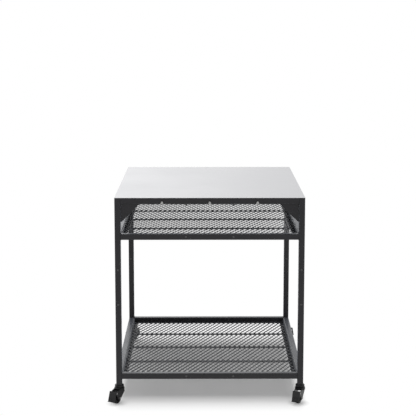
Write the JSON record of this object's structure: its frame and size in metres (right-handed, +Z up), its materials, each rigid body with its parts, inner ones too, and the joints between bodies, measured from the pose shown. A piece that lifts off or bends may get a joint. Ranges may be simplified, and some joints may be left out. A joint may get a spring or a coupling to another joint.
{
  "type": "outdoor pizza oven table",
  "caption": "Square tube steel table with a flush steel worktop, two mesh shelves, small front hooks and braked swivel casters.",
  "frame": {"origin": "middle of the footprint on the floor", "axes": "+X to the right seen from the front, +Y to the back, +Z up"},
  "size_m": [0.8692, 1.0174, 0.89],
  "materials": {
    "frame_steel": "satin powder coat",
    "worktop_steel": "brushed",
    "bright_steel": "bright zinc plate",
    "mesh_steel": "satin powder coat",
    "black_bolts": "black oxide",
    "caster_steel": "gloss black",
    "caster_plastic": "moulded black",
    "tyre_rubber": "matt"
  },
  "bodies": {
    "table": {"leg_lower_fl": "frame_steel", "leg_lower_fr": "frame_steel", "leg_lower_br": "frame_steel", "leg_lower_bl": "frame_steel", "leg_upper_fl": "frame_steel", "leg_upper_fr": "frame_steel", "leg_upper_br": "frame_steel", "leg_upper_bl": "frame_steel", "leg_sleeves": "frame_steel", "leg_screws": "black_bolts", "top_rail_front": "frame_steel", "top_rail_back": "frame_steel", "top_rail_left": "frame_steel", "top_rail_right": "frame_steel", "worktop": "worktop_steel", "worktop_channels": "worktop_steel", "worktop_fixings": "black_bolts", "corner_gussets": "frame_steel", "front_hooks": "bright_steel", "upper_rail_front": "frame_steel", "upper_rail_back": "frame_steel", "upper_rail_left": "frame_steel", "upper_rail_right": "frame_steel", "lower_rail_front": "frame_steel", "lower_rail_back": "frame_steel", "lower_rail_left": "frame_steel", "lower_rail_right": "frame_steel", "upper_tray": "frame_steel", "lower_tray": "frame_steel", "upper_mesh": "mesh_steel", "lower_mesh": "mesh_steel", "tray_bolts": "black_bolts", "tray_nuts": "black_bolts", "caster_sockets": "caster_plastic", "caster_stems": "caster_steel", "swivel_balls": "bright_steel"},
    "swivel_fl": {"caster_fork_fl": "caster_steel", "axle_fl": "bright_steel", "brake_pin_fl": "bright_steel"},
    "wheel_fl": {"wheel_core_fl": "caster_plastic", "wheel_tyre_fl": "tyre_rubber"},
    "pedal_fl": {"brake_pedal_fl": "caster_steel"},
    "swivel_fr": {"caster_fork_fr": "caster_steel", "axle_fr": "bright_steel", "brake_pin_fr": "bright_steel"},
    "wheel_fr": {"wheel_core_fr": "caster_plastic", "wheel_tyre_fr": "tyre_rubber"},
    "pedal_fr": {"brake_pedal_fr": "caster_steel"},
    "swivel_br": {"caster_fork_br": "caster_steel", "axle_br": "bright_steel", "brake_pin_br": "bright_steel"},
    "wheel_br": {"wheel_core_br": "caster_plastic", "wheel_tyre_br": "tyre_rubber"},
    "pedal_br": {"brake_pedal_br": "caster_steel"},
    "swivel_bl": {"caster_fork_bl": "caster_steel", "axle_bl": "bright_steel", "brake_pin_bl": "bright_steel"},
    "wheel_bl": {"wheel_core_bl": "caster_plastic", "wheel_tyre_bl": "tyre_rubber"},
    "pedal_bl": {"brake_pedal_bl": "caster_steel"}
  },
  "joints": [
    {"name": "swivel_fl", "type": "hinge", "parent": "table", "child": "swivel_fl", "pos_m": [-0.3875, -0.4375, 0.0722], "axis": [0, 0, 1], "continuous": true},
    {"name": "wheel_fl", "type": "hinge", "parent": "swivel_fl", "child": "wheel_fl", "pos_m": [-0.39783, -0.45692, 0.025], "axis": [0.8829, -0.4695, 0], "continuous": true},
    {"name": "brake_fl", "type": "hinge", "parent": "swivel_fl", "child": "pedal_fl", "pos_m": [-0.40754, -0.47519, 0.05009], "axis": [0.8829, -0.4695, 0], "range_deg": [0, 12]},
    {"name": "swivel_fr", "type": "hinge", "parent": "table", "child": "swivel_fr", "pos_m": [0.3875, -0.4375, 0.0722], "axis": [0, 0, 1], "continuous": true},
    {"name": "wheel_fr", "type": "hinge", "parent": "swivel_fr", "child": "wheel_fr", "pos_m": [0.37926, -0.4579, 0.025], "axis": [0.9272, -0.3746, 0], "continuous": true},
    {"name": "brake_fr", "type": "hinge", "parent": "swivel_fr", "child": "pedal_fr", "pos_m": [0.37151, -0.47708, 0.05009], "axis": [0.9272, -0.3746, 0], "range_deg": [0, 12]},
    {"name": "swivel_br", "type": "hinge", "parent": "table", "child": "swivel_br", "pos_m": [0.3875, 0.4375, 0.0722], "axis": [0, 0, 1], "continuous": true},
    {"name": "wheel_br", "type": "hinge", "parent": "swivel_br", "child": "wheel_br", "pos_m": [0.39783, 0.45692, 0.025], "axis": [-0.8829, 0.4695, 0], "continuous": true},
    {"name": "brake_br", "type": "hinge", "parent": "swivel_br", "child": "pedal_br", "pos_m": [0.40754, 0.47519, 0.05009], "axis": [-0.8829, 0.4695, 0], "range_deg": [0, 12]},
    {"name": "swivel_bl", "type": "hinge", "parent": "table", "child": "swivel_bl", "pos_m": [-0.3875, 0.4375, 0.0722], "axis": [0, 0, 1], "continuous": true},
    {"name": "wheel_bl", "type": "hinge", "parent": "swivel_bl", "child": "wheel_bl", "pos_m": [-0.37926, 0.4579, 0.025], "axis": [-0.9272, 0.3746, 0], "continuous": true},
    {"name": "brake_bl", "type": "hinge", "parent": "swivel_bl", "child": "pedal_bl", "pos_m": [-0.37151, 0.47708, 0.05009], "axis": [-0.9272, 0.3746, 0], "range_deg": [0, 12]}
  ]
}
